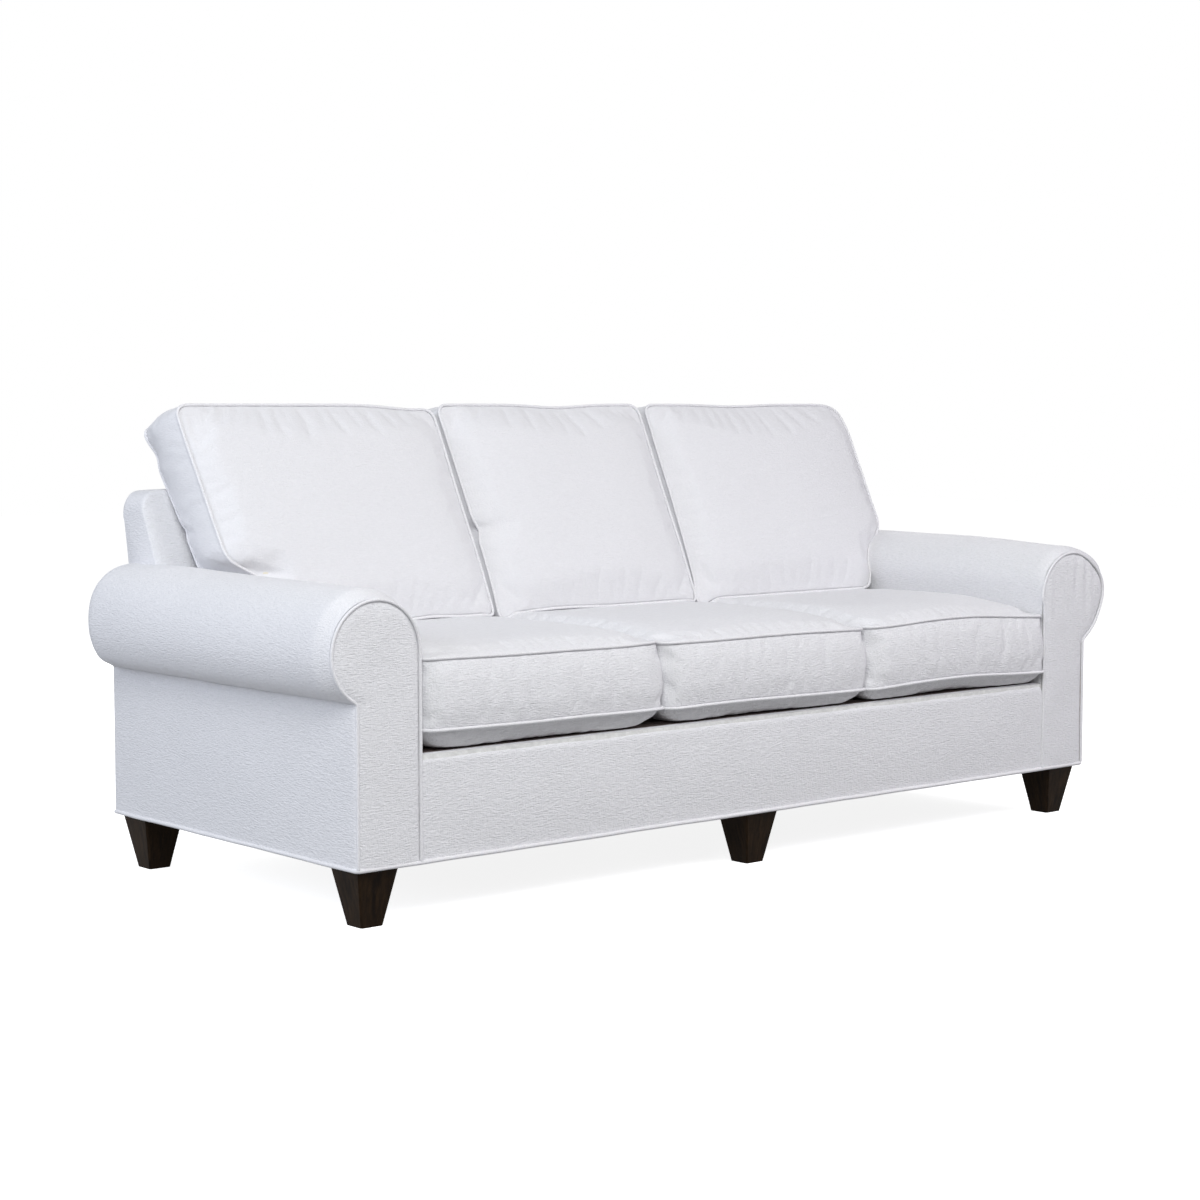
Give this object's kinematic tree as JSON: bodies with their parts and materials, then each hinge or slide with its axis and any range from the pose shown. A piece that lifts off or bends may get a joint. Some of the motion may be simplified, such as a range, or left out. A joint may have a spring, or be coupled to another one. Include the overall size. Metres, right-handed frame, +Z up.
{
  "type": "three-cushion sofa",
  "caption": "Rolled-arm sofa with loose box seat and back cushions, welted off-white cloth, low padded back and dark tapered square legs.",
  "frame": {"origin": "on the floor under the middle of the sofa's width and depth", "axes": "+X to the right as seen from the front, +Y to the back, so the seat faces -Y, and +Z up"},
  "size_m": [2.158, 0.894, 0.945],
  "materials": {
    "upholstery_cloth": "off-white plain weave with fine slubs",
    "welt_cloth": "off-white cord covered in the same cloth",
    "deck_cloth": "plain off-white cloth",
    "padding_wadding": "soft white wadding",
    "filling_foam": "pale open-cell foam",
    "webbing_cloth": "woven strap",
    "dust_cloth": "thin black non-woven cloth",
    "frame_wood": "sawn hardwood, unfinished",
    "leg_wood": "dark espresso stain with a satin lacquer",
    "spring_steel": "plain drawn wire and folded strip",
    "fastener_steel": "zinc plated"
  },
  "bodies": {
    "sofa_frame": {"front_rail": "frame_wood", "rear_rail": "frame_wood", "spring_rail": "frame_wood", "side_rails": "frame_wood", "seat_stretchers": "frame_wood", "left_arm_front_board": "frame_wood", "right_arm_front_board": "frame_wood", "left_arm_rear_board": "frame_wood", "right_arm_rear_board": "frame_wood", "arm_top_rails": "frame_wood", "arm_lower_rails": "frame_wood", "arm_outer_rails": "frame_wood", "left_back_post": "frame_wood", "right_back_post": "frame_wood", "centre_posts": "frame_wood", "back_top_rail": "frame_wood", "back_lower_rail": "frame_wood", "wing_blocks": "frame_wood", "leg_blocks": "frame_wood", "left_arm_padding": "padding_wadding", "right_arm_padding": "padding_wadding", "back_padding": "padding_wadding", "deck_pad": "padding_wadding", "left_arm_cover": "upholstery_cloth", "right_arm_cover": "upholstery_cloth", "left_outer_arm_panel": "upholstery_cloth", "right_outer_arm_panel": "upholstery_cloth", "left_arm_front_panel": "upholstery_cloth", "right_arm_front_panel": "upholstery_cloth", "inside_back_cover": "upholstery_cloth", "outside_back_panel": "upholstery_cloth", "front_rail_cover": "upholstery_cloth", "deck_cover": "deck_cloth", "left_arm_welt": "welt_cloth", "right_arm_welt": "welt_cloth", "base_welt": "welt_cloth", "back_webbing": "webbing_cloth", "dust_cover": "dust_cloth", "seat_springs": "spring_steel", "spring_clips": "spring_steel", "hanger_bolts": "fastener_steel", "leg_nuts": "fastener_steel", "front_left_leg": "leg_wood", "front_centre_leg": "leg_wood", "front_right_leg": "leg_wood", "rear_left_leg": "leg_wood", "rear_centre_leg": "leg_wood", "rear_right_leg": "leg_wood"},
    "left_seat": {"left_seat_cushion": "upholstery_cloth", "left_seat_filling": "filling_foam"},
    "left_back": {"left_back_cushion": "upholstery_cloth", "left_back_filling": "filling_foam"},
    "middle_seat": {"middle_seat_cushion": "upholstery_cloth", "middle_seat_filling": "filling_foam"},
    "middle_back": {"middle_back_cushion": "upholstery_cloth", "middle_back_filling": "filling_foam"},
    "right_seat": {"right_seat_cushion": "upholstery_cloth", "right_seat_filling": "filling_foam"},
    "right_back": {"right_back_cushion": "upholstery_cloth", "right_back_filling": "filling_foam"}
  },
  "joints": [
    {"name": "left_seat_pull_out", "type": "slide", "parent": "sofa_frame", "child": "left_seat", "axis": [0, -1, 0], "range_m": [0, 0.65]},
    {"name": "left_back_lift_out", "type": "slide", "parent": "sofa_frame", "child": "left_back", "axis": [0, 0, 1], "range_m": [0, 0.45]},
    {"name": "middle_seat_pull_out", "type": "slide", "parent": "sofa_frame", "child": "middle_seat", "axis": [0, -1, 0], "range_m": [0, 0.65]},
    {"name": "middle_back_lift_out", "type": "slide", "parent": "sofa_frame", "child": "middle_back", "axis": [0, 0, 1], "range_m": [0, 0.45]},
    {"name": "right_seat_pull_out", "type": "slide", "parent": "sofa_frame", "child": "right_seat", "axis": [0, -1, 0], "range_m": [0, 0.65]},
    {"name": "right_back_lift_out", "type": "slide", "parent": "sofa_frame", "child": "right_back", "axis": [0, 0, 1], "range_m": [0, 0.45]}
  ]
}
